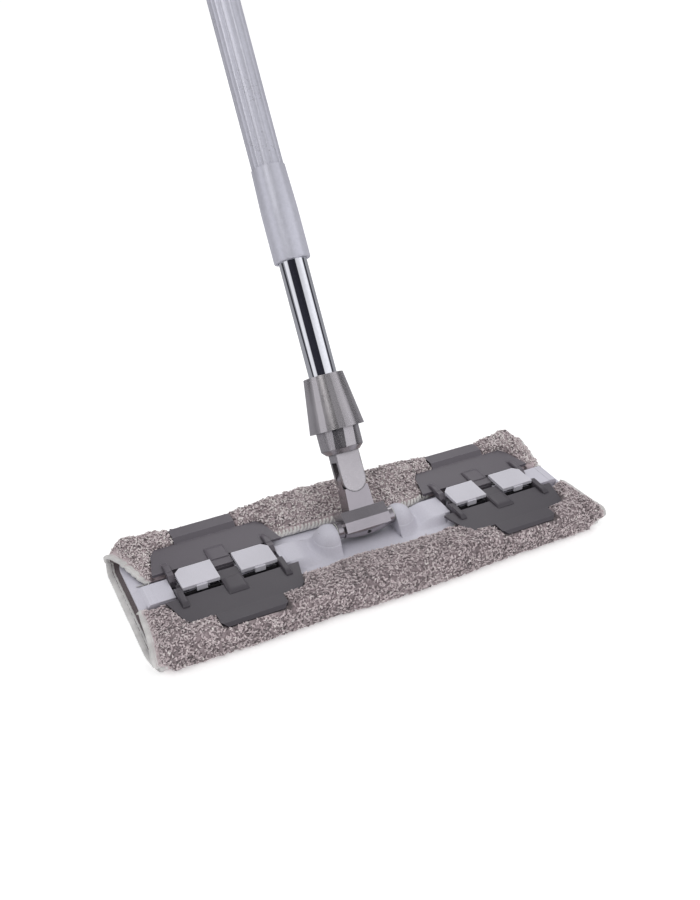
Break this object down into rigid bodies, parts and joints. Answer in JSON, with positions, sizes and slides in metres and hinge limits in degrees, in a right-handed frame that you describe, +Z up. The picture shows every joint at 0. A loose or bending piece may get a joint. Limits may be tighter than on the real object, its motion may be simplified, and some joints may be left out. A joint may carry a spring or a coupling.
{
  "type": "flat mop",
  "caption": "Flat mop: wide base plate with folded pile cloth held by spring butterfly clamps, two-way neck joint and telescopic twist-lock handle leaning back.",
  "frame": {"origin": "on the floor plane, under the middle of the head", "axes": "+X along the head, +Y towards the side the handle leans to, +Z up"},
  "size_m": [0.42, 0.5915, 0.7872],
  "materials": {
    "deck_plastic": "smooth satin moulded",
    "wing_plastic": "fine grained",
    "pad_plastic": "fine grained",
    "joint_plastic": "pewter grey, satin moulded",
    "sleeve_plastic": "lacquered, fine fluting",
    "chrome": "polished",
    "steel": "bright drawn",
    "nylon": "natural nylon",
    "cloth": "looped microfibre pile"
  },
  "bodies": {
    "handle": {"outer_tube": "sleeve_plastic", "clamp_bush": "nylon", "end_cap": "sleeve_plastic"},
    "lock_collar": {"lock_collar": "sleeve_plastic"},
    "inner_tube": {"inner_tube": "chrome", "guide_bush": "nylon", "upper_neck": "joint_plastic", "tube_collet": "nylon"},
    "skirt_nut": {"skirt_nut": "joint_plastic"},
    "foot": {"foot_block": "joint_plastic", "grub_screw": "steel", "swivel_pin": "steel", "swivel_washers": "nylon", "axle_pin": "steel"},
    "head": {"base_plate": "deck_plastic", "mop_cloth": "cloth", "axle_washers": "nylon", "wing_hinge_pins": "steel", "wing_springs": "steel", "pad_spring_left_outer": "steel", "pad_spring_left_inner": "steel", "pad_spring_right_outer": "steel", "pad_spring_right_inner": "steel"},
    "wing_left_rear": {"wing_left_rear": "wing_plastic"},
    "wing_left_front": {"wing_left_front": "wing_plastic"},
    "press_pad_left_outer": {"press_pad_left_outer": "pad_plastic"},
    "press_pad_left_inner": {"press_pad_left_inner": "pad_plastic"},
    "wing_right_rear": {"wing_right_rear": "wing_plastic"},
    "wing_right_front": {"wing_right_front": "wing_plastic"},
    "press_pad_right_outer": {"press_pad_right_outer": "pad_plastic"},
    "press_pad_right_inner": {"press_pad_right_inner": "pad_plastic"}
  },
  "joints": [
    {"name": "telescope", "type": "slide", "parent": "handle", "child": "inner_tube", "axis": [0, -0.5592, -0.829], "range_m": [-0.095, 0.36]},
    {"name": "lock_twist", "type": "hinge", "parent": "handle", "child": "lock_collar", "pos_m": [0, 0.15989, 0.25639], "axis": [0, 0.5592, 0.829], "range_deg": [0, 90]},
    {"name": "nut_twist", "type": "hinge", "parent": "inner_tube", "child": "skirt_nut", "pos_m": [0, 0.06483, 0.11546], "axis": [0, 0.5592, 0.829], "range_deg": [0, 180]},
    {"name": "neck_swivel", "type": "hinge", "parent": "inner_tube", "child": "foot", "pos_m": [0, 0.02209, 0.05925], "axis": [0, -0.829, 0.5592], "range_deg": [-45, 45]},
    {"name": "head_tilt", "type": "hinge", "parent": "foot", "child": "head", "pos_m": [0, 0, 0.0265], "axis": [1, 0, 0], "range_deg": [-90, 24]},
    {"name": "wing_left_rear_open", "type": "hinge", "parent": "head", "child": "wing_left_rear", "pos_m": [-0.128, 0.008, 0.0165], "axis": [1, 0, 0], "range_deg": [0, 25], "stiffness_Nm_per_rad": 0.06, "springref_deg": -28.65},
    {"name": "wing_left_front_open", "type": "hinge", "parent": "head", "child": "wing_left_front", "pos_m": [-0.128, -0.008, 0.0165], "axis": [-1, 0, 0], "range_deg": [0, 25.1]},
    {"name": "press_left_outer", "type": "slide", "parent": "head", "child": "press_pad_left_outer", "axis": [0, 0, -1], "range_m": [0, 0.00285], "deforming": ["pad_spring_left_outer"]},
    {"name": "press_left_inner", "type": "slide", "parent": "head", "child": "press_pad_left_inner", "axis": [0, 0, -1], "range_m": [0, 0.00285], "deforming": ["pad_spring_left_inner"]},
    {"name": "wing_right_rear_open", "type": "hinge", "parent": "head", "child": "wing_right_rear", "pos_m": [0.128, 0.008, 0.0165], "axis": [1, 0, 0], "range_deg": [0, 25], "stiffness_Nm_per_rad": 0.06, "springref_deg": -28.65},
    {"name": "wing_right_front_open", "type": "hinge", "parent": "head", "child": "wing_right_front", "pos_m": [0.128, -0.008, 0.0165], "axis": [-1, 0, 0], "range_deg": [0, 25.1]},
    {"name": "press_right_outer", "type": "slide", "parent": "head", "child": "press_pad_right_outer", "axis": [0, 0, -1], "range_m": [0, 0.00285], "deforming": ["pad_spring_right_outer"]},
    {"name": "press_right_inner", "type": "slide", "parent": "head", "child": "press_pad_right_inner", "axis": [0, 0, -1], "range_m": [0, 0.00285], "deforming": ["pad_spring_right_inner"]}
  ],
  "couplings": [
    {"joint": "wing_left_front_open", "follows": "wing_left_rear_open", "ratio": 1},
    {"joint": "press_left_outer", "follows": "wing_left_rear_open", "m_per_rad": 0.0064171},
    {"joint": "press_left_inner", "follows": "wing_left_rear_open", "m_per_rad": 0.0064171},
    {"joint": "wing_right_front_open", "follows": "wing_right_rear_open", "ratio": 1},
    {"joint": "press_right_outer", "follows": "wing_right_rear_open", "m_per_rad": 0.0064171},
    {"joint": "press_right_inner", "follows": "wing_right_rear_open", "m_per_rad": 0.0064171}
  ]
}
